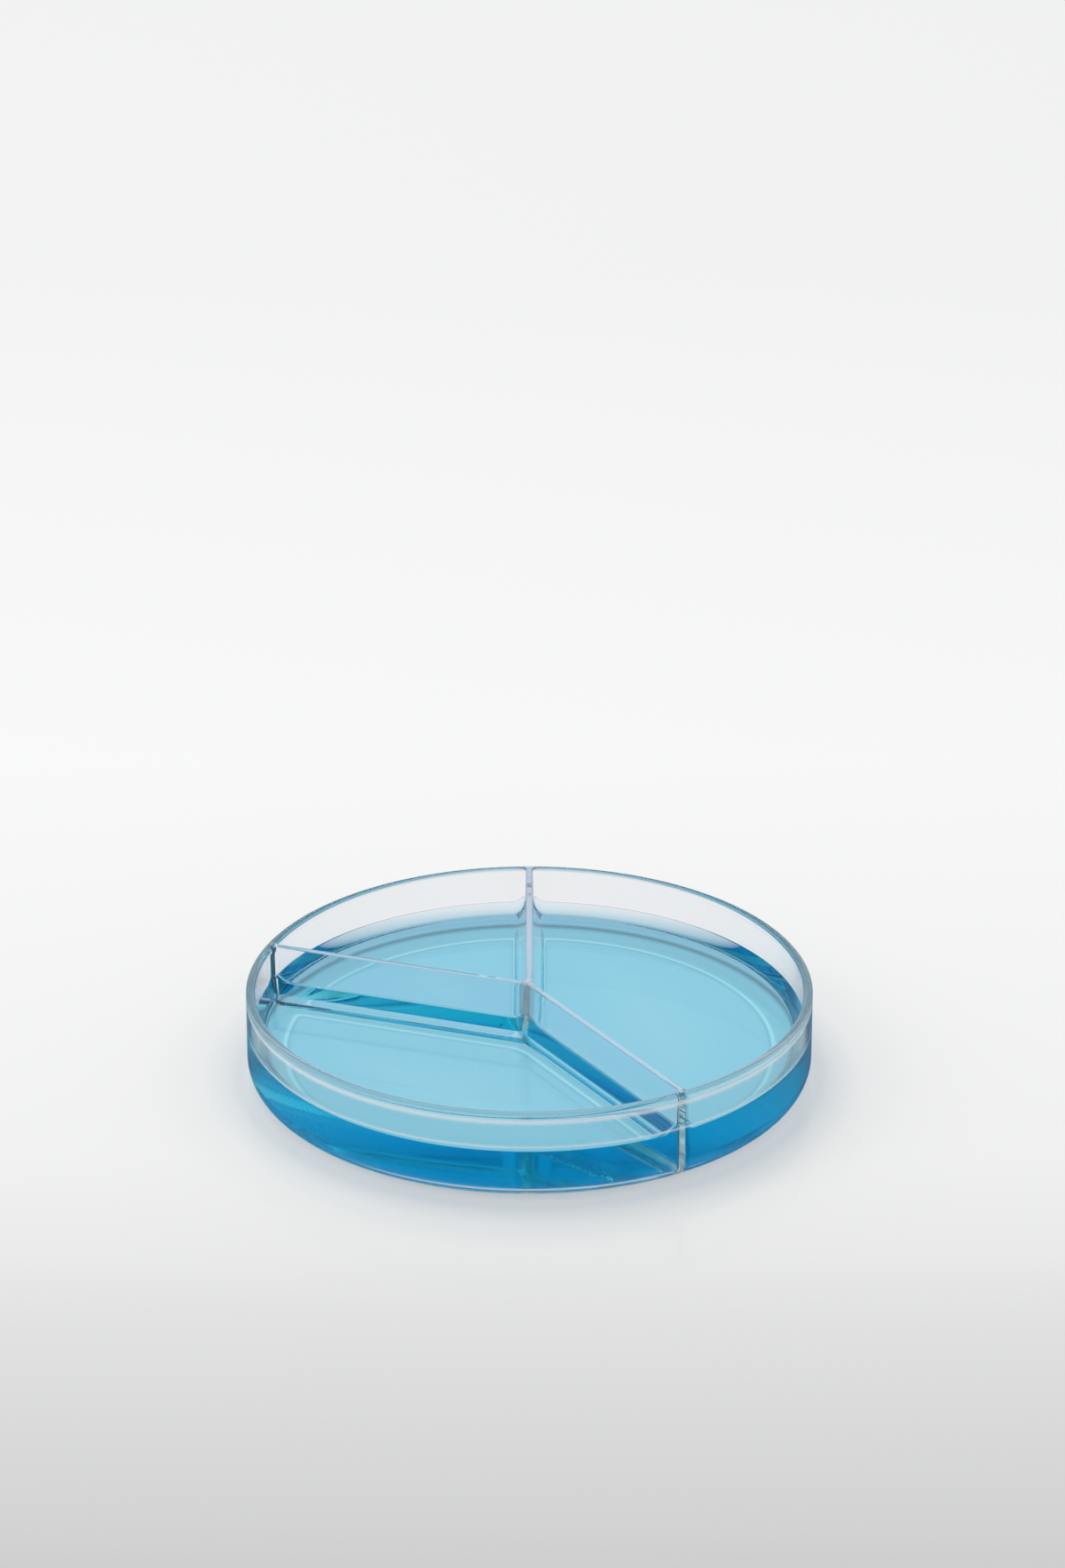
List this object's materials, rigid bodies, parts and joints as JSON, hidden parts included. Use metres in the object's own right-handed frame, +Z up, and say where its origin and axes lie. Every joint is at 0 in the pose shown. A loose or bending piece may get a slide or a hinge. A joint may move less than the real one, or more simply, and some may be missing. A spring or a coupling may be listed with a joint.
{
  "type": "reagent reservoir",
  "caption": "Round clear moulded dish with upright dividers that part it into compartments, each holding a pool of blue reagent.",
  "frame": {"origin": "centre of the dish's underside", "axes": "+Z up through the middle of the dish, +Y towards the back divider"},
  "size_m": [0.088, 0.088, 0.0148],
  "materials": {
    "clear_plastic": "clear polished moulding, colourless with a faint cool cast at its edges",
    "blue_reagent": "clear blue watery liquid, mirror smooth, deeper blue along a longer path"
  },
  "bodies": {
    "root": {"dish": "clear_plastic", "reagent_back_left": "blue_reagent", "reagent_front": "blue_reagent", "reagent_right": "blue_reagent"}
  },
  "joints": []
}
